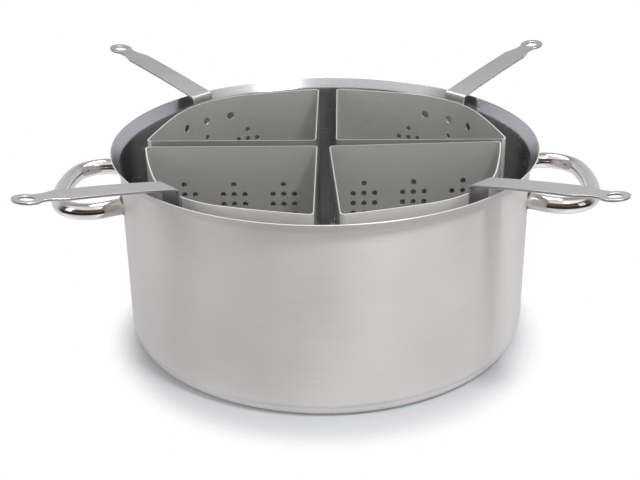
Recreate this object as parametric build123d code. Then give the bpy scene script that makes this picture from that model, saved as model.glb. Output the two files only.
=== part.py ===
from build123d import *
from math import asin, cos, degrees, floor, hypot, radians, sin, sqrt, tan
import os

# Millimetres. The origin is on the pot's axis at the level of the table, +Z is up,
# and the two side handles lie along X.

# Pot wall and lip
pot_radius = 181.0
pot_sheet = 1.0
lip_flare = 7.0
lip_height = 174.5
flare_turn = 55.0
pot_corner_radius = 9.0

# Layered base: a steel cap below, an aluminium core, the pot's own floor above
cap_sheet = 0.8
core_thickness = 5.0
cap_step = 1.7
cap_corner_radius = 9.0

# Side handles: round tube, lying flat, legs splayed outward from the wall
tube_diameter = 14.6
tube_wall = 1.5
handle_reach = 56.2
handle_bar_radius = 156.0
handle_bar_turn = 11.6
handle_corner_radius = 28.9
handle_leg_angle = 29.7
left_handle_drop = 45.7
right_handle_drop = 41.9
weld_bead_width = 1.6
weld_bead_lip = 0.3

# Wedge inserts: outer faces, seen from above with the inner corner at the origin. The
# bend radius is that of the inside of the three upright bends.
insert_sheet = 1.0
insert_drop = 4.0
insert_clearance = 0.2
insert_wall_gap = 8.9
bend_radius = 3.0
bow_radius = 97.5
bow_half_turn = 28.43
flank_radius = 655.0

# Perforations in the walls: clusters of three columns, with one hole above and below
small_hole = 4.8
hole_pitch_across = 9.7
hole_pitch_down = 9.6
first_row_depth = 36.2
rows_between_tiers = 6
cluster_rows = (1, 3, 3, 3, 1)
cluster_tiers = 2
straight_cluster_inset = 31.0
straight_cluster_pitch = 44.7
straight_clusters = 3
curved_cluster_pitch = 45.5
curved_clusters = 3
large_hole = 7.5
large_hole_depth = 19.3
large_hole_pitch = 28.0
large_holes = 3

# Perforations in the floor
floor_hole_inset = 12.0
floor_hole_pitch = 14.0
floor_hole_margin = 8.0

# Strap handles: a flat strip seen from the side, then from above
strap_width = 23.5
strap_sheet = 2.0
strap_edge_round = 0.6
tab_depth = 24.5
tab_rise = 3.5
tab_pad = 3.0
strap_bend_radius = 3.0
strap_rise_start = 13.4
strap_rise_end = 8.7
strap_reach = 126.0
shoulder_length = 12.0
neck_length = 16.0
neck_width = 15.6
eye_diameter = 22.3
eye_hole = 11.4
shoulder_round = 8.0
neck_round = 6.0
eye_round = 3.0

# Where the inserts stand. Their inner corners, across and along, are shares of the gap
# between neighbours. The straps sit off the middle of the curved wall by a share of
# their width. The turns are the insert's quarter, its further turn and the strap's.
insert_gap = 15.0
corner_shares = {
    "rear_right": (0.67, 0.56),
    "rear_left": (-0.51, 0.53),
    "front_left": (-0.41, -0.41),
    "front_right": (0.27, -0.43),
}
strap_shift_shares = {
    "rear_right": -0.20,
    "rear_left": 0.07,
    "front_left": -0.15,
    "front_right": 0.08,
}
insert_turns = {
    "rear_right": (0.0, 0.0, 1.0),
    "rear_left": (90.0, 0.0, 3.2),
    "front_left": (180.0, 0.0, -1.5),
    "front_right": (270.0, 3.6, -5.4),
}

# Reach past a face for cutting tools
cut_overrun = 5.0

# Angles used in turns
quarter_turn = 90.0
half_turn = 180.0
diagonal = 45.0

# Sizes that follow from the ones above
pot_floor_underside = cap_sheet + core_thickness
pot_floor_top = pot_floor_underside + pot_sheet
corner_top = pot_floor_underside + pot_corner_radius
flare_radius = lip_flare / (1 - cos(radians(flare_turn)))
flare_start = lip_height - (flare_radius + pot_sheet) * sin(radians(flare_turn))
cap_radius = pot_radius - cap_step
insert_bottom = pot_floor_top + insert_clearance
insert_top = lip_height - insert_drop
corner_offset = insert_gap * max(hypot(x, y) for x, y in corner_shares.values())
curved_wall_reach = pot_radius - pot_sheet - insert_wall_gap - corner_offset
bow_centre = (curved_wall_reach - bow_radius) / sqrt(2)
bow_start = diagonal - bow_half_turn
flank_shift = flank_radius - bow_radius
flank_centre_far = bow_centre - flank_shift * cos(radians(bow_start))
flank_centre_near = bow_centre - flank_shift * sin(radians(bow_start))
flank_lean = degrees(asin(-flank_centre_near / flank_radius))
bend_setback = (bend_radius + insert_sheet) / tan(radians(quarter_turn - flank_lean) / 2)
straight_reach = flank_centre_far + flank_radius * cos(radians(flank_lean)) - bend_setback
tab_bottom = insert_top - tab_depth
tab_top = insert_top + tab_rise
eye_distance = curved_wall_reach + strap_reach
neck_start = eye_distance - neck_length
shoulder_start = neck_start - shoulder_length
strap_slopes = sin(radians(strap_rise_start)) - sin(radians(strap_rise_end))
strap_arm_radius = (strap_reach + eye_diameter / 2) / strap_slopes


def pot_outside():
    """Outside of the pot from the middle of its floor to where the lip flares."""
    corner_start = (pot_radius - pot_corner_radius, pot_floor_underside)
    bottom = Line((0, pot_floor_underside), corner_start)
    corner = JernArc(bottom @ 1, bottom % 1, pot_corner_radius, quarter_turn)
    wall = Line(corner @ 1, (pot_radius, flare_start))
    return bottom, corner, wall


def pot_sheet_between(low, high):
    """The pot's drawn sheet between two heights: floor, corner, wall or flared lip."""
    bottom, corner, wall = pot_outside()
    flare = JernArc(wall @ 1, wall % 1, flare_radius, -flare_turn)
    outside = Wire([bottom, corner, wall, flare])
    section = make_face(offset(outside, pot_sheet, side=Side.LEFT))
    band = Pos(0, low) * Rectangle(2 * pot_radius, high - low, align=Align.MIN)
    return revolve(Plane.XZ * (section & band), Axis.Z)


def pot_body_block():
    """Everything inside the pot's outer surface, for cutting what lies against it."""
    bottom, corner, wall = pot_outside()
    top = Line(wall @ 1, (0, flare_start))
    axis_side = Line(top @ 1, bottom @ 0)
    return revolve(Plane.XZ * make_face([bottom, corner, wall, top, axis_side]), Axis.Z)


def base_block(inset):
    """The base's outline, drawn in all round by the inset."""
    outer = cap_radius - inset
    corner = cap_corner_radius - inset
    bottom = Line((0, inset), (outer - corner, inset))
    turn = JernArc(bottom @ 1, bottom % 1, corner, quarter_turn)
    side = Line(turn @ 1, (outer, cap_corner_radius + pot_corner_radius))
    top = Line(side @ 1, (0, cap_corner_radius + pot_corner_radius))
    axis_side = Line(top @ 1, bottom @ 0)
    return revolve(Plane.XZ * make_face([bottom, turn, side, top, axis_side]), Axis.Z)


def base_cap():
    """Steel dish under the core, its rim running up to the pot's corner."""
    return base_block(0) - base_block(cap_sheet) - pot_body_block()


def base_core():
    """Aluminium disc that fills the space between the cap and the pot's floor."""
    return base_block(cap_sheet) - pot_body_block()


def handle_half_path():
    """Centre line from the middle of the bar to inside the pot's wall."""
    corner_turn = half_turn + handle_leg_angle - quarter_turn - handle_bar_turn
    bar = JernArc((pot_radius + handle_reach, 0), (0, 1), handle_bar_radius, handle_bar_turn)
    corner = JernArc(bar @ 1, bar % 1, handle_corner_radius, corner_turn)
    leg = Line(corner @ 1, corner @ 1 + (corner % 1) * handle_reach)
    return bar, corner, leg


def handle_tube(drop):
    """Bent hollow tube on the +X side, its ends shaped to the pot's wall."""
    half = Curve() + list(handle_half_path())
    path = Wire(half.edges() + mirror(half, Plane.XZ).edges())
    ring = Circle(tube_diameter / 2) - Circle(tube_diameter / 2 - tube_wall)
    start = Plane(origin=path @ 0, z_dir=path % 0)
    tube = sweep(start * ring, path=path)
    return Pos(0, 0, lip_height - drop) * tube - Cylinder(pot_radius, 2 * lip_height)


def weld_bead(drop, side):
    """Ring of weld where a leg meets the wall, for the leg at +Y (1) or -Y (-1)."""
    leg = handle_half_path()[2]
    direction = leg % 1
    along = leg.start_point().dot(direction)
    off_axis = leg.start_point().dot(leg.start_point()) - along * along
    run = -along - sqrt(pot_radius * pot_radius - off_axis)
    foot = leg.start_point() + direction * run
    top = tube_diameter / 2 + weld_bead_lip
    base = top + 2 * weld_bead_width
    face = Plane(origin=foot, z_dir=direction * -1)
    cone = face * Cone(base, top, 2 * weld_bead_width)
    tube = face * Cylinder(tube_diameter / 2, 2 * handle_reach)
    bead = Pos(0, 0, lip_height - drop) * (cone - tube) - Cylinder(pot_radius, 2 * lip_height)
    return bead if side > 0 else mirror(bead, Plane.XZ)


def wall_curve(inset):
    """Curved wall seen from above, from one outer corner to the other."""
    flank = flank_radius - inset
    flank_low = degrees(asin((inset - flank_centre_near) / flank))
    flank_turn = bow_start - flank_low
    bow_turn = 2 * bow_half_turn
    near = CenterArc((flank_centre_far, flank_centre_near), flank, flank_low, flank_turn)
    bow = CenterArc((bow_centre, bow_centre), bow_radius - inset, bow_start, bow_turn)
    bow_end = bow_start + bow_turn
    far = CenterArc((flank_centre_near, flank_centre_far), flank, bow_end, flank_turn)
    return [near, bow, far]


def insert_outline(inset):
    """Whole wedge drawn in all round by the inset, its three bends rounded."""
    near, bow, far = wall_curve(inset)
    near_wall = Line((inset, inset), near @ 0)
    far_wall = Line(far @ 1, (inset, inset))
    face = make_face([near_wall, near, bow, far, far_wall])
    rounding = bend_radius + insert_sheet - inset
    if rounding <= 0:
        return face
    bends = [near_wall @ 0, near @ 0, far @ 1]
    corners = [face.vertices().sort_by_distance(bend)[0] for bend in bends]
    return fillet(corners, rounding)


def wall_ring():
    """All walls of the insert seen from above."""
    return insert_outline(0) - insert_outline(insert_sheet)


def straight_zone():
    """Where the ring of walls belongs to the two straight walls and their bend."""
    deep = bend_radius + insert_sheet
    along_x = Rectangle(straight_reach, deep, align=Align.MIN)
    return along_x + Rectangle(deep, straight_reach, align=Align.MIN)


def upright(face, bottom, top):
    """The face carried up from one height to another."""
    return Pos(0, 0, bottom) * extrude(face, top - bottom)


def cluster_holes():
    """Offsets across and depths of the small holes of one column of clusters."""
    holes = []
    for tier in range(cluster_tiers):
        for row, count in enumerate(cluster_rows):
            down = tier * rows_between_tiers + row
            depth = first_row_depth + down * hole_pitch_down
            for column in range(count):
                across = (column - (count - 1) / 2) * hole_pitch_across
                holes.append((across, depth))
    return holes


def hole_tool(place, facing, depth, diameter):
    """Round tool that goes through a wall at a place seen from above, facing outward."""
    plane = Plane(origin=(place.X, place.Y, insert_top - depth), z_dir=facing)
    return plane * Cylinder(diameter / 2, 2 * cut_overrun)


def straight_walls():
    """Two straight walls of one sheet, bent at the insert's inner corner."""
    walls = upright(wall_ring() & straight_zone(), insert_bottom, insert_top)
    tools = []
    for cluster in range(straight_clusters):
        middle = straight_cluster_inset + cluster * straight_cluster_pitch
        for across, depth in cluster_holes():
            along = middle + across
            tools.append(hole_tool(Vector(along, 0), Vector(0, 1), depth, small_hole))
            tools.append(hole_tool(Vector(0, along), Vector(1, 0), depth, small_hole))
    return walls - tools


def curved_wall():
    """Curved wall, its ends bent round to meet the edges of the straight walls."""
    wall = upright(wall_ring() - straight_zone(), insert_bottom, insert_top)
    path = Wire(wall_curve(insert_sheet / 2))
    tools = []
    for cluster in range(curved_clusters):
        middle = (cluster - (curved_clusters - 1) / 2) * curved_cluster_pitch
        for across, depth in cluster_holes():
            share = 1 / 2 + (middle + across) / path.length
            outward = (path % share).cross(Vector(0, 0, 1))
            tools.append(hole_tool(path @ share, outward, depth, small_hole))
    for number in range(large_holes):
        middle = (number - (large_holes - 1) / 2) * large_hole_pitch
        share = 1 / 2 + middle / path.length
        outward = (path % share).cross(Vector(0, 0, 1))
        tools.append(hole_tool(path @ share, outward, large_hole_depth, large_hole))
    return wall - tools


def floor_plate():
    """Perforated floor between the walls, level with their lower edges."""
    plate = insert_outline(insert_sheet)
    kept = insert_outline(insert_sheet + floor_hole_margin)
    count = floor(curved_wall_reach / floor_hole_pitch)
    for across in range(count):
        for along in range(count):
            x = floor_hole_inset + across * floor_hole_pitch
            y = floor_hole_inset + along * floor_hole_pitch
            if kept.is_inside(Vector(x, y)):
                plate -= Pos(x, y) * Circle(small_hole / 2)
    return upright(plate, insert_bottom, insert_bottom + insert_sheet)


def strap_side():
    """Strip seen from the side: upright tab, bend, and arm that levels out."""
    tab = Line((curved_wall_reach, tab_bottom), (curved_wall_reach, tab_top))
    bend_radius = strap_bend_radius + strap_sheet
    bend = JernArc(tab @ 1, tab % 1, bend_radius, strap_rise_start - quarter_turn)
    levelling = strap_rise_end - strap_rise_start
    arm = JernArc(bend @ 1, bend % 1, strap_arm_radius, levelling)
    strip = offset(Wire([tab, bend, arm]), strap_sheet, side=Side.RIGHT)
    return make_face(strip)


def strap_plan():
    """Strip seen from above: straight sides, shoulders, neck and round eye."""
    half = strap_width / 2
    neck = neck_width / 2
    start = curved_wall_reach - cut_overrun
    upper = [(start, half), (shoulder_start, half), (neck_start, neck), (eye_distance, neck)]
    lower = [(x, -y) for x, y in reversed(upper)]
    blank = make_face(Polyline(upper + lower, close=True))
    blank += Pos(eye_distance, 0) * Circle(eye_diameter / 2)
    before_eye = eye_distance - eye_diameter / 2
    near_eye = [v for v in blank.vertices() if before_eye < v.X < eye_distance]
    blank = fillet(near_eye, eye_round)
    for x, size in ((neck_start, neck_round), (shoulder_start, shoulder_round)):
        corners = [v for v in blank.vertices() if abs(v.X - x) < shoulder_length / 4]
        blank = fillet(corners, size)
    return blank - Pos(eye_distance, 0) * Circle(eye_hole / 2)


def strap_handle(off_middle, off_square):
    """Strap of one insert, its tab shaped to the curved wall that carries it."""
    side = Plane.XZ * strap_side()
    strip = extrude(side, strap_width, both=True)
    strap = strip & extrude(strap_plan(), 2 * lip_height)
    strap = fillet(strap.edges(), strap_edge_round)
    strap += Pos(curved_wall_reach, 0, tab_bottom) * Box(
        tab_pad,
        strap_width,
        insert_top - tab_bottom,
        align=(Align.MAX, Align.CENTER, Align.MIN),
    )
    seat = Pos(curved_wall_reach, off_middle) * Rot(0, 0, off_square)
    placed = Rot(0, 0, diagonal) * seat * Pos(-curved_wall_reach, 0) * strap
    return placed - upright(insert_outline(0), 0, insert_top)


def export_all():
    """Write one file for each named piece."""
    os.makedirs("parts", exist_ok=True)
    pieces = {
        "pot_floor": pot_sheet_between(0, corner_top),
        "pot_wall": pot_sheet_between(corner_top, flare_start),
        "pot_lip": pot_sheet_between(flare_start, 2 * lip_height),
        "base_core": base_core(),
        "base_cap": base_cap(),
    }
    sides = {"right": (right_handle_drop, 0.0), "left": (left_handle_drop, half_turn)}
    for side, (drop, turn) in sides.items():
        place = Rot(0, 0, turn)
        front = -1 if side == "right" else 1
        pieces[side + "_handle_tube"] = place * handle_tube(drop)
        pieces[side + "_front_weld_bead"] = place * weld_bead(drop, front)
        pieces[side + "_rear_weld_bead"] = place * weld_bead(drop, -front)
    walls = straight_walls()
    curve = curved_wall()
    plate = floor_plate()
    for name, (quarter, turn, off_square) in insert_turns.items():
        x_share, y_share = corner_shares[name]
        place = Pos(x_share * insert_gap, y_share * insert_gap) * Rot(0, 0, quarter + turn)
        off_middle = strap_shift_shares[name] * strap_width
        pieces[name + "_straight_walls"] = place * walls
        pieces[name + "_curved_wall"] = place * curve
        pieces[name + "_floor_plate"] = place * plate
        pieces[name + "_strap_handle"] = place * strap_handle(off_middle, off_square)
    for node, shape in pieces.items():
        export_step(shape, "parts/" + node + ".step")


export_all()
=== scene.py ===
import bpy
import math
from mathutils import Matrix, Vector


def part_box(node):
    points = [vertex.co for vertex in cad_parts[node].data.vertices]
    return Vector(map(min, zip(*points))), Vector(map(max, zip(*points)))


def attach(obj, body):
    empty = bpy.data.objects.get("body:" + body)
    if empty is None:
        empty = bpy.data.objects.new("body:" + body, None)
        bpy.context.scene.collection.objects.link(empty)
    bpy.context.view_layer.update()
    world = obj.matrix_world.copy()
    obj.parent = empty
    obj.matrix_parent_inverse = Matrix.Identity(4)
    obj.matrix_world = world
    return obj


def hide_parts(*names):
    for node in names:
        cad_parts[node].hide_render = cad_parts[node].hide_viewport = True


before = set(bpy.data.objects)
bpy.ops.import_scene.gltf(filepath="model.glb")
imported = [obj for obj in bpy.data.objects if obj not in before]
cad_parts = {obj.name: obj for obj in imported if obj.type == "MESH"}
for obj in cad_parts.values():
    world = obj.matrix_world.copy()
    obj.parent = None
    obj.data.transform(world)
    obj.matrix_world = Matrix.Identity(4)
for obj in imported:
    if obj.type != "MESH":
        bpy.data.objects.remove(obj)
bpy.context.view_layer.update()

# Sizes of the pot in metres. Those that the frame gives are read from it.
lip_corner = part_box("pot_lip")[1]
cap_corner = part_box("base_cap")[1]
LIP_RADIUS = lip_corner.x
LIP_TOP = lip_corner.z
CAP_RADIUS = cap_corner.x
CAP_TOP = cap_corner.z
WALL_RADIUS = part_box("pot_wall")[1].x
FLOOR_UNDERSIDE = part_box("pot_floor")[0].z
SHEET = 0.001
CORNER = 0.009
CAP_SHEET = 0.0008
CAP_RIM = 0.0003

# The lip bends out and then runs straight to the radius and height that the frame gives
FLARE_TURN = math.radians(38)
FLARE_BEND = 0.004
FLARE_OUT = LIP_RADIUS - WALL_RADIUS - FLARE_BEND * (1 - math.cos(FLARE_TURN))
BRIM = FLARE_OUT / math.sin(FLARE_TURN)
FLARE_HEIGHT = (FLARE_BEND + SHEET) * math.sin(FLARE_TURN) + BRIM * math.cos(FLARE_TURN)
FLARE_START = LIP_TOP - FLARE_HEIGHT

# Side handles: half of the bar, one corner and one leg
TUBE = 0.0073
BAR_RADIUS = 0.156
BAR_TURN = math.radians(11.6)
BEND = 0.0289
LEG_ANGLE = math.radians(29.7)
SEAT_DEPTH = 0.4 * SHEET

# How finely the turned and bent shapes are divided
TURN_STEPS = 288
TUBE_STEPS = 40
FLAT_RINGS = (0.06, 0.12)
WALL_STEPS = 8
FLARE_STEPS = 8
BRIM_STEPS = 6
INSIDE_CORNER_STEPS = 10
OUTSIDE_CORNER_STEPS = 12
CAP_CORNER_STEPS = 14
BAR_STEPS = 16
BEND_STEPS = 40
LEG_STEP = 0.0005


# Mesh helpers

def arc(centre, radius, start, stop, count):
    """Points on an arc in a section, from one angle to another."""
    angles = [start + (stop - start) * i / count for i in range(count + 1)]
    return [(centre[0] + radius * math.cos(a), centre[1] + radius * math.sin(a)) for a in angles]


def between(start, stop, count):
    """Points that divide a straight stretch of a section, without its two ends."""
    across = stop[0] - start[0]
    up = stop[1] - start[1]
    return [(start[0] + across * i / count, start[1] + up * i / count) for i in range(1, count)]


def add_mesh(name, points, faces, smooth=True):
    mesh = bpy.data.meshes.new(name)
    mesh.from_pydata(points, [], faces)
    mesh.update()
    if smooth:
        mesh.shade_smooth()
    piece = bpy.data.objects.new(name, mesh)
    bpy.context.scene.collection.objects.link(piece)
    return piece


def lathe(name, section, count=TURN_STEPS):
    """Closed body turned about Z from a section that starts and ends on the axis."""
    inner = section[1:-1]
    points = [(0, 0, section[0][1])]
    for r, z in inner:
        for i in range(count):
            a = 2 * math.pi * i / count
            points.append((r * math.cos(a), r * math.sin(a), z))
    points.append((0, 0, section[-1][1]))
    last = len(points) - 1
    base = 1 + (len(inner) - 1) * count
    faces = []
    for i in range(count):
        j = (i + 1) % count
        faces.append((0, 1 + j, 1 + i))
        for ring in range(len(inner) - 1):
            low = 1 + ring * count
            high = low + count
            faces.append((low + i, low + j, high + j, high + i))
        faces.append((base + i, base + j, last))
    return add_mesh(name, points, faces)


def seated(point, along, reach):
    """The point carried along a direction to a distance from the pot's axis."""
    run = -point.x * along.x - point.y * along.y
    off_axis = point.x ** 2 + point.y ** 2 - run ** 2
    return point + along * (run - math.sqrt(reach ** 2 - off_axis))


def tube(name, path, radius, reach, count=TUBE_STEPS):
    """Closed round tube along a path that lies flat, both ends shaped to a round wall."""
    up = Vector((0, 0, 1))
    points = []
    last = len(path) - 1
    for i, p in enumerate(path):
        ahead = (path[min(i + 1, last)] - path[max(i - 1, 0)]).normalized()
        side = ahead.cross(up)
        for k in range(count):
            a = 2 * math.pi * k / count
            point = p + side * radius * math.cos(a) + up * radius * math.sin(a)
            if i in (0, last):
                point = seated(point, ahead if i else -ahead, reach)
            points.append(point)
    faces = []
    for i in range(last):
        for k in range(count):
            m = (k + 1) % count
            near = i * count
            far = near + count
            faces.append((near + k, far + k, far + m, near + m))
    faces.append(tuple(range(count)))
    faces.append(tuple(last * count + k for k in reversed(range(count))))
    return add_mesh(name, points, faces)


# Materials. Noise scales are per metre, for X, Y and Z.
PATCH_SCALE = (9, 9, 6)
SMUDGE_SCALE = (60, 60, 60)
SMUDGE_RANGE = (0.45, 0.75)
GRAIN_DEPTH = 0.0001
QUARTER_ROTATION = 0.25

# The change from faces that look at the pot's axis to all others, by the dot product of
# a face's place and its normal. Faces that look straight up are among the others.
OUTWARD_RANGE = (-0.004, -0.001)


def new_material(name):
    material = bpy.data.materials.new(name)
    material.use_nodes = True
    nodes = material.node_tree.nodes
    shader = nodes["Principled BSDF"]
    return material, nodes, material.node_tree.links, shader


def noise(nodes, links, source, scale, detail=3.0, rough=0.55):
    """Noise over object coordinates stretched by a scale for each axis, per metre."""
    mapping = nodes.new("ShaderNodeMapping")
    mapping.inputs["Scale"].default_value = scale
    links.new(source, mapping.inputs["Vector"])
    texture = nodes.new("ShaderNodeTexNoise")
    texture.inputs["Scale"].default_value = 1.0
    texture.inputs["Detail"].default_value = detail
    texture.inputs["Roughness"].default_value = rough
    links.new(mapping.outputs["Vector"], texture.inputs["Vector"])
    return texture.outputs["Fac"]


def spread(nodes, links, value, low, high, start=0.3, stop=0.7):
    """A value carried from one range, start to stop, to another, low to high."""
    node = nodes.new("ShaderNodeMapRange")
    node.inputs["From Min"].default_value = start
    node.inputs["From Max"].default_value = stop
    node.inputs["To Min"].default_value = low
    node.inputs["To Max"].default_value = high
    links.new(value, node.inputs["Value"])
    return node.outputs["Result"]


def blend_colours(nodes, links, factor, first, second):
    node = nodes.new("ShaderNodeMix")
    node.data_type = "RGBA"
    node.inputs["A"].default_value = (*first, 1)
    node.inputs["B"].default_value = (*second, 1)
    links.new(factor, node.inputs["Factor"])
    return node.outputs["Result"]


def multiply_add(nodes, links, value, factor, addend):
    """A value times a number, plus another value."""
    node = nodes.new("ShaderNodeMath")
    node.operation = "MULTIPLY_ADD"
    links.new(value, node.inputs[0])
    node.inputs[1].default_value = factor
    links.new(addend, node.inputs[2])
    return node.outputs[0]


def facing_out(nodes, links, place):
    """1 where a face looks away from the pot's axis, 0 where it looks towards it. It picks where
    the painted shade and painted light tones go.
    """
    flat = nodes.new("ShaderNodeVectorMath")
    flat.operation = "MULTIPLY"
    flat.inputs[1].default_value = (1, 1, 0)
    links.new(place, flat.inputs[0])
    along = nodes.new("ShaderNodeVectorMath")
    along.operation = "DOT_PRODUCT"
    links.new(flat.outputs["Vector"], along.inputs[0])
    links.new(nodes.new("ShaderNodeNewGeometry").outputs["Normal"], along.inputs[1])
    return spread(nodes, links, along.outputs["Value"], 0.0, 1.0, *OUTWARD_RANGE)


def steel(
    name,
    light,
    dark,
    rough,
    grain,
    bump,
    streak=0.6,
    vary=0.04,
    anisotropic=0.0,
    wear=0.02,
    metallic=1.0,
    inside=None,
):
    """Brushed steel: fine grain lines, broad patches and faint smudges.

    The faces that look at the pot's axis can have a light and dark tone, a
    roughness and a metallic share of their own. The two tones make lit and
    shaded copies of one steel, that is painted shade and painted light.
    """
    material, nodes, links, shader = new_material(name)
    shader.inputs["Metallic"].default_value = metallic
    shader.inputs["Anisotropic"].default_value = anisotropic
    place = nodes.new("ShaderNodeTexCoord").outputs["Object"]
    lines = noise(nodes, links, place, grain, detail=4.0, rough=0.7)
    patches = noise(nodes, links, place, PATCH_SCALE, detail=2.0)
    smudges = noise(nodes, links, place, SMUDGE_SCALE)
    patch_tone = spread(nodes, links, patches, 0.0, 1.0 - streak)
    tone = multiply_add(nodes, links, lines, streak, patch_tone)
    colour = blend_colours(nodes, links, tone, dark, light)
    grain_rough = spread(nodes, links, lines, rough - vary, rough + vary)
    if inside:
        inside_light, inside_dark, inside_rough, inside_metallic = inside
        out = facing_out(nodes, links, place)
        inner = blend_colours(nodes, links, tone, inside_dark, inside_light)
        choice = nodes.new("ShaderNodeMix")
        choice.data_type = "RGBA"
        links.new(out, choice.inputs["Factor"])
        links.new(inner, choice.inputs["A"])
        links.new(colour, choice.inputs["B"])
        colour = choice.outputs["Result"]
        inner_rough = spread(nodes, links, lines, inside_rough - vary, inside_rough + vary)
        grain_rough = multiply_add(nodes, links, out, rough - inside_rough, inner_rough)
        if inside_metallic != metallic:
            share = spread(nodes, links, out, inside_metallic, metallic, 0.0, 1.0)
            links.new(share, shader.inputs["Metallic"])
    links.new(colour, shader.inputs["Base Color"])
    roughness = nodes.new("ShaderNodeMath")
    roughness.operation = "ADD"
    links.new(grain_rough, roughness.inputs[0])
    links.new(spread(nodes, links, smudges, 0.0, wear, *SMUDGE_RANGE), roughness.inputs[1])
    links.new(roughness.outputs[0], shader.inputs["Roughness"])
    height = nodes.new("ShaderNodeBump")
    height.inputs["Strength"].default_value = bump
    height.inputs["Distance"].default_value = GRAIN_DEPTH
    links.new(lines, height.inputs["Height"])
    links.new(height.outputs["Normal"], shader.inputs["Normal"])
    if anisotropic:
        shader.inputs["Anisotropic Rotation"].default_value = QUARTER_ROTATION
        tangent = nodes.new("ShaderNodeTangent")
        tangent.direction_type = "RADIAL"
        tangent.axis = "Z"
        links.new(tangent.outputs["Tangent"], shader.inputs["Tangent"])
    return material


# Tones of the faces that look at the axis: light, dark, roughness and metallic share
BASKET_LIGHT = (0.57, 0.585, 0.565)
BASKET_DARK = (0.52, 0.52, 0.50)
# Painted shade: the pot's inside faces get a darker, bluer copy of the body's steel.
POT_INSIDE_PAINTED_SHADE = ((0.60, 0.605, 0.62), (0.54, 0.545, 0.56), 0.24, 1.0)
BASKET_INSIDE = (BASKET_LIGHT, BASKET_DARK, 0.28, 0.6)
# Painted shade: the straight walls' faces towards the gaps between the inserts get a darker copy of
# the basket steel.
GAP_SIDE_PAINTED_SHADE = ((0.56, 0.55, 0.54), (0.48, 0.47, 0.46), 0.34, 0.8)

body_steel = steel(
    "body_steel",
    light=(0.87, 0.84, 0.83),
    dark=(0.66, 0.63, 0.625),
    rough=0.44,
    grain=(30, 30, 700),
    bump=0.16,
    streak=0.45,
    anisotropic=0.8,
    metallic=0.4,
    inside=POT_INSIDE_PAINTED_SHADE,
)
cap_steel = steel(
    "cap_steel",
    light=(0.76, 0.735, 0.73),
    dark=(0.64, 0.615, 0.61),
    rough=0.42,
    grain=(9, 9, 700),
    bump=0.12,
    streak=0.45,
    anisotropic=0.7,
    metallic=0.4,
)
insert_steel = steel(
    "insert_steel",
    light=BASKET_LIGHT,
    dark=BASKET_DARK,
    rough=0.30,
    grain=(25, 25, 900),
    bump=0.003,
    streak=0.08,
    vary=0.008,
    metallic=0.6,
    inside=GAP_SIDE_PAINTED_SHADE,
)
# Painted light: the curved walls' outer faces get a much lighter copy of the steel; their inner
# faces take the basket tone.
curve_steel_painted_light = steel(
    "curve_steel_painted_light",
    light=(0.86, 0.83, 0.81),
    dark=(0.76, 0.73, 0.71),
    rough=0.34,
    grain=(12, 12, 900),
    bump=0.003,
    streak=0.08,
    vary=0.008,
    metallic=0.5,
    inside=BASKET_INSIDE,
)
floor_steel = steel(
    "floor_steel",
    light=(0.76, 0.74, 0.72),
    dark=(0.68, 0.66, 0.64),
    rough=0.30,
    grain=(12, 1800, 12),
    bump=0.03,
    metallic=0.6,
)
strap_steel = steel(
    "strap_steel",
    light=(0.63, 0.62, 0.615),
    dark=(0.55, 0.54, 0.535),
    rough=0.34,
    grain=(14, 1200, 14),
    bump=0.05,
    vary=0.03,
)
handle_steel = steel(
    "handle_steel",
    light=(0.86, 0.83, 0.80),
    dark=(0.78, 0.75, 0.72),
    rough=0.09,
    grain=(40, 40, 40),
    bump=0.004,
    wear=0.03,
)
weld_steel = steel(
    "weld_steel",
    light=(0.36, 0.32, 0.28),
    dark=(0.16, 0.13, 0.11),
    rough=0.34,
    grain=(900, 900, 900),
    bump=0.30,
)
core_metal = steel(
    "core_metal",
    light=(0.80, 0.80, 0.81),
    dark=(0.70, 0.70, 0.71),
    rough=0.45,
    grain=(400, 400, 400),
    bump=0.10,
)


def dress(piece, material):
    piece.data.materials.clear()
    piece.data.materials.append(material)


# Pot shell and base cap

def flat_disc(height):
    """Section of a flat disc from the axis outward."""
    return [(r, height) for r in (0, *FLAT_RINGS)]


def pot_section():
    """Inside floor, inside wall, lip, outside wall and underside."""
    corner = (WALL_RADIUS - CORNER, FLOOR_UNDERSIDE + CORNER)
    down = -math.pi / 2
    section = flat_disc(FLOOR_UNDERSIDE + SHEET)
    section += arc(corner, CORNER - SHEET, down, 0, INSIDE_CORNER_STEPS)
    inner = WALL_RADIUS - SHEET
    section += between((inner, corner[1]), (inner, FLARE_START), WALL_STEPS)
    bend = (WALL_RADIUS + FLARE_BEND, FLARE_START)
    turned = math.pi - FLARE_TURN
    inner_bend = arc(bend, FLARE_BEND + SHEET, math.pi, turned, FLARE_STEPS)
    outer_bend = arc(bend, FLARE_BEND, turned, math.pi, FLARE_STEPS)
    out = BRIM * math.sin(FLARE_TURN)
    up = BRIM * math.cos(FLARE_TURN)
    inner_brim = (inner_bend[-1][0] + out, inner_bend[-1][1] + up)
    outer_brim = (outer_bend[0][0] + out, outer_bend[0][1] + up)
    tip = ((inner_brim[0] + outer_brim[0]) / 2, (inner_brim[1] + outer_brim[1]) / 2)
    section += inner_bend
    section += between(inner_bend[-1], inner_brim, BRIM_STEPS)
    section += [inner_brim]
    section += arc(tip, SHEET / 2, turned, turned - math.pi, FLARE_STEPS)[1:-1]
    section += [outer_brim]
    section += between(outer_brim, outer_bend[0], BRIM_STEPS)
    section += outer_bend
    section += between((WALL_RADIUS, FLARE_START), (WALL_RADIUS, corner[1]), WALL_STEPS)
    section += arc(corner, CORNER, 0, down, OUTSIDE_CORNER_STEPS)
    section += reversed(flat_disc(FLOOR_UNDERSIDE))
    return section


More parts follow.
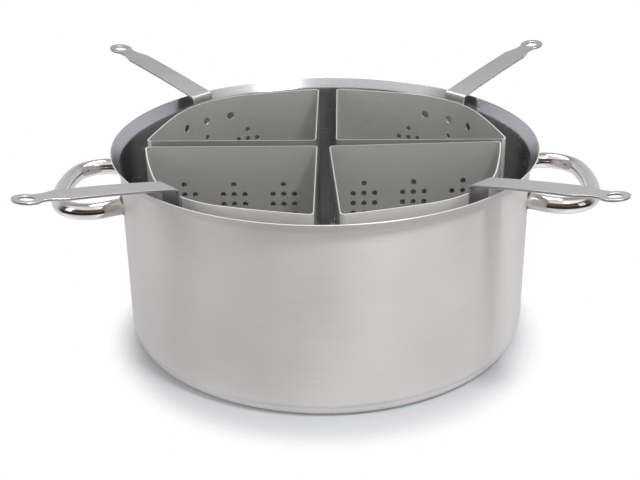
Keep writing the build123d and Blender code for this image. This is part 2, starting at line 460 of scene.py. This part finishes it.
def cap_section():
    """Underside, rounded rim and the thin inside face of the base cap."""
    centre = (CAP_RADIUS - CORNER, CORNER)
    down = -math.pi / 2
    section = flat_disc(0)
    section += arc(centre, CORNER, down, 0, CAP_CORNER_STEPS)
    section += [(CAP_RADIUS, CAP_TOP - CAP_RIM), (CAP_RADIUS - CAP_RIM, CAP_TOP)]
    section += [(CAP_RADIUS - CAP_SHEET, CAP_TOP - 3 * CAP_RIM)]
    section += arc(centre, CORNER - CAP_SHEET, 0, down, CAP_CORNER_STEPS)
    section += reversed(flat_disc(CAP_SHEET))
    return section


pot_sheet = lathe("pot_sheet", pot_section())
dress(pot_sheet, body_steel)
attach(pot_sheet, "pot")
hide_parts("pot_floor", "pot_wall", "pot_lip")

cap = lathe("base_cap_dish", cap_section())
dress(cap, cap_steel)
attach(cap, "pot")
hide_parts("base_cap")


# Side handles

def handle_path(side, node):
    """Centre line of a handle from wall to wall, side 1 for right and -1 for left."""
    low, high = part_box(node)
    height = (low.z + high.z) / 2
    x = max(abs(low.x), abs(high.x)) - TUBE
    y = 0.0
    heading = math.pi / 2
    half = [(x, y)]
    corner_turn = math.pi / 2 + LEG_ANGLE - BAR_TURN
    for radius, turn, count in ((BAR_RADIUS, BAR_TURN, BAR_STEPS), (BEND, corner_turn, BEND_STEPS)):
        step = turn / count
        for i in range(count):
            x += radius * (math.sin(heading + step) - math.sin(heading))
            y += radius * (math.cos(heading) - math.cos(heading + step))
            heading += step
            half.append((x, y))
    inward = (LEG_STEP * math.cos(heading), LEG_STEP * math.sin(heading))
    while math.hypot(x, y) > WALL_RADIUS + TUBE:
        x += inward[0]
        y += inward[1]
        half.append((x, y))
    half.append((x + inward[0], y + inward[1]))
    whole = [(px, -py) for px, py in reversed(half[1:])] + half
    return [Vector((side * px, py, height)) for px, py in whole]


for side, word in ((1, "right"), (-1, "left")):
    node = word + "_handle_tube"
    bar = tube(word + "_handle_bar", handle_path(side, node), TUBE, WALL_RADIUS - SEAT_DEPTH)
    dress(bar, handle_steel)
    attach(bar, "pot")
    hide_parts(node)


# CAD pieces that stay as they are, by the end of their names. The rest are replaced above.
CAD_STEEL = {
    "_straight_walls": insert_steel,
    "_curved_wall": curve_steel_painted_light,
    "_floor_plate": floor_steel,
    "_strap_handle": strap_steel,
    "_weld_bead": weld_steel,
    "base_core": core_metal,
}
for name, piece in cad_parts.items():
    dress(piece, body_steel)
    for ending, material in CAD_STEEL.items():
        if name.endswith(ending):
            dress(piece, material)


# Floor. It is opaque only near the pot, where it takes the real shadow and its grey colour adds a
# painted shadow, and fades out round it.
FLOOR_HALF = 1.0
# A grey well below white, so the opaque disc near the pot is a painted shadow.
FLOOR_PAINTED_SHADOW_COLOUR = (0.56, 0.575, 0.60, 1)
FLOOR_ROUGHNESS = 0.9
# The disc of painted shadow fades out between these radii; its centre is moved towards the front of
# the pot.
SHADOW_START = 0.164
SHADOW_END = 0.203
SHADOW_SHIFT = (0, 0.026, 0)

floor_material, nodes, links, shader = new_material("studio_floor")
shader.inputs["Base Color"].default_value = FLOOR_PAINTED_SHADOW_COLOUR
shader.inputs["Roughness"].default_value = FLOOR_ROUGHNESS
shader.inputs["Specular IOR Level"].default_value = 0.0
clear = nodes.new("ShaderNodeBsdfTransparent")
away = nodes.new("ShaderNodeVectorMath")
away.operation = "LENGTH"
shifted = nodes.new("ShaderNodeMapping")
shifted.inputs["Location"].default_value = SHADOW_SHIFT
links.new(nodes.new("ShaderNodeTexCoord").outputs["Object"], shifted.inputs["Vector"])
links.new(shifted.outputs["Vector"], away.inputs[0])
fade = nodes.new("ShaderNodeMapRange")
fade.interpolation_type = "SMOOTHSTEP"
fade.inputs["From Min"].default_value = SHADOW_START
fade.inputs["From Max"].default_value = SHADOW_END
links.new(away.outputs["Value"], fade.inputs["Value"])
melt = nodes.new("ShaderNodeMixShader")
links.new(fade.outputs["Result"], melt.inputs["Fac"])
links.new(shader.outputs[0], melt.inputs[1])
links.new(clear.outputs[0], melt.inputs[2])
links.new(melt.outputs[0], nodes["Material Output"].inputs["Surface"])
corners = [(x * FLOOR_HALF, y * FLOOR_HALF, 0) for x, y in ((-1, -1), (1, -1), (1, 1), (-1, 1))]
studio_floor = add_mesh("studio_floor", corners, [(0, 1, 2, 3)], smooth=False)
dress(studio_floor, floor_material)

# What the metal reflects and what lights it: stops of a place and a grey level or colour.
# The lists for the front, for behind and for the skies run from straight down at 0 to
# straight up at 1. The two for the sides run once round, from behind the pot by its left.
BRONZE = (0.34, 0.24, 0.18)
FRONT_LOW = [(0.0, 0.80), (0.21, 0.80), (0.25, 0.50), (0.28, 0.03), (0.56, 0.02)]
FRONT_MIDDLE = [(0.60, BRONZE), (0.64, 0.03), (0.76, 0.02), (0.80, BRONZE), (0.83, 0.10)]
FRONT_HIGH = [(0.87, (0.86, 0.83, 0.81)), (0.91, 0.95), (1.0, 0.70)]
BEHIND = [(0.0, 0.70), (0.35, 0.58), (0.70, (0.53, 0.55, 0.57)), (0.85, 0.30), (1.0, 0.24)]
SIDES_LEFT = [(0.0, 0.85), (0.05, 0.88), (0.10, 1.0), (0.24, 1.0), (0.32, 0.75), (0.50, 0.75)]
SIDES_RIGHT = [(0.545, 0.80), (0.565, 1.0), (0.60, 0.95), (0.90, 1.0), (0.95, 0.88), (1.0, 0.85)]
FRONT_SKY = [(0.0, 0.1), (0.47, 0.1), (0.50, 1.30), (0.78, 1.30), (0.92, 0.6), (1.0, 0.5)]
BACK_SKY = [(0.0, 0.1), (0.49, 0.1), (0.52, 0.35), (1.0, 0.5)]
BACK_RANGE = (-0.1, 0.3)
SKY_TINT = (1.0, 0.98, 0.98)
MIRROR_TINT = (1.25, 1.25, 1.28)
WHITE = (1, 1, 1, 1)

world = bpy.data.worlds.new("studio")
bpy.context.scene.world = world
world.use_nodes = True
nodes, links = world.node_tree.nodes, world.node_tree.links
nodes.clear()
output = nodes.new("ShaderNodeOutputWorld")
direction = nodes.new("ShaderNodeSeparateXYZ")
links.new(nodes.new("ShaderNodeTexCoord").outputs["Generated"], direction.inputs[0])


def ramp(value, stops):
    """Colour by a list of places with a grey level or a colour each."""
    node = nodes.new("ShaderNodeValToRGB")
    links.new(value, node.inputs["Fac"])
    node.color_ramp.elements.remove(node.color_ramp.elements[1])
    for i, (place, level) in enumerate(stops):
        stop = node.color_ramp.elements[0] if i == 0 else node.color_ramp.elements.new(place)
        stop.position = place
        stop.color = (*level, 1) if isinstance(level, tuple) else (level, level, level, 1)
    return node.outputs["Color"]


def calculate(operation, *values):
    node = nodes.new("ShaderNodeMath")
    node.operation = operation
    for i, value in enumerate(values):
        if isinstance(value, (int, float)):
            node.inputs[i].default_value = value
        else:
            links.new(value, node.inputs[i])
    return node.outputs[0]


def multiply(first, second):
    """Two colours multiplied, each a socket or a plain colour."""
    node = nodes.new("ShaderNodeMix")
    node.data_type = "RGBA"
    node.blend_type = "MULTIPLY"
    node.inputs["Factor"].default_value = 1.0
    for word, colour in (("A", first), ("B", second)):
        if isinstance(colour, tuple):
            node.inputs[word].default_value = (*colour, 1)
        else:
            links.new(colour, node.inputs[word])
    return node.outputs["Result"]


def background(colour):
    node = nodes.new("ShaderNodeBackground")
    links.new(colour, node.inputs["Color"])
    return node.outputs[0]


def all_round(front, behind):
    """A colour that turns from one in front of the pot to one behind it."""
    node = nodes.new("ShaderNodeMix")
    node.data_type = "RGBA"
    links.new(back_share.outputs["Result"], node.inputs["Factor"])
    links.new(front, node.inputs["A"])
    links.new(behind, node.inputs["B"])
    return node.outputs["Result"]


height = calculate("MULTIPLY_ADD", direction.outputs["Z"], 0.5, 0.5)
frontward = calculate("MULTIPLY", direction.outputs["Y"], -1.0)
turned = calculate("ARCTAN2", direction.outputs["X"], frontward)
around = calculate("MULTIPLY_ADD", turned, 0.5 / math.pi, 0.5)
back_share = nodes.new("ShaderNodeMapRange")
back_share.inputs["From Min"].default_value = BACK_RANGE[0]
back_share.inputs["From Max"].default_value = BACK_RANGE[1]
links.new(direction.outputs["Y"], back_share.inputs["Value"])

room = all_round(ramp(height, FRONT_LOW + FRONT_MIDDLE + FRONT_HIGH), ramp(height, BEHIND))
shown = multiply(room, ramp(around, SIDES_LEFT + SIDES_RIGHT))
sky = all_round(ramp(height, FRONT_SKY), ramp(height, BACK_SKY))
path = nodes.new("ShaderNodeLightPath")
mirrored = calculate("MAXIMUM", path.outputs["Is Glossy Ray"], path.outputs["Is Transmission Ray"])
glossy = nodes.new("ShaderNodeMixShader")
links.new(mirrored, glossy.inputs["Fac"])
links.new(background(multiply(SKY_TINT, sky)), glossy.inputs[1])
links.new(background(multiply(MIRROR_TINT, shown)), glossy.inputs[2])
seen = nodes.new("ShaderNodeBackground")
seen.inputs["Color"].default_value = WHITE
choose = nodes.new("ShaderNodeMixShader")
links.new(path.outputs["Is Camera Ray"], choose.inputs["Fac"])
links.new(glossy.outputs[0], choose.inputs[1])
links.new(seen.outputs[0], choose.inputs[2])
links.new(choose.outputs[0], output.inputs["Surface"])

# Lamps: place, width and length in metres, and power in watts. All aim at one point.
LAMP_AIM = Vector((0, 0, 0.1))
LAMPS = {
    "key_top": ((0.0, 0.40, 1.15), (0.7, 0.5), 6.5),
    "key_right": ((0.50, -0.62, 1.30), (0.22, 0.22), 10),
    "fill_left": ((-1.4, -0.7, 0.8), (0.5, 1.0), 2.5),
    "fill_right": ((1.4, -0.8, 0.5), (0.5, 0.8), 1.0),
}
for name, (place, size, power) in LAMPS.items():
    lamp = bpy.data.lights.new(name, "AREA")
    lamp.shape = "RECTANGLE"
    lamp.size, lamp.size_y = size
    lamp.energy = power
    light = bpy.data.objects.new(name, lamp)
    bpy.context.scene.collection.objects.link(light)
    light.location = place
    light.rotation_euler = (LAMP_AIM - Vector(place)).to_track_quat("-Z", "Y").to_euler()

# Camera, fitted to the photo's view
CAMERA_PLACE = Vector((0.01525, -0.95638, 0.51854))
CAMERA_FORWARD = Vector((-0.019418, 0.907293, -0.42005)).normalized()
CAMERA_ROLL = math.radians(-0.739)
CAMERA_SENSOR = 36.0
CAMERA_LENS = 64.15
GLOSSY_BOUNCES = 8

camera_data = bpy.data.cameras.new("camera")
camera_data.sensor_width = CAMERA_SENSOR
camera_data.lens = CAMERA_LENS
camera = bpy.data.objects.new("camera", camera_data)
bpy.context.scene.collection.objects.link(camera)
facing = CAMERA_FORWARD.to_track_quat("-Z", "Y").to_matrix().to_4x4()
roll = Matrix.Rotation(CAMERA_ROLL, 4, "Z")
camera.matrix_world = Matrix.Translation(CAMERA_PLACE) @ facing @ roll
bpy.context.scene.camera = camera
bpy.context.scene.view_settings.view_transform = "Standard"
bpy.context.scene.cycles.glossy_bounces = GLOSSY_BOUNCES
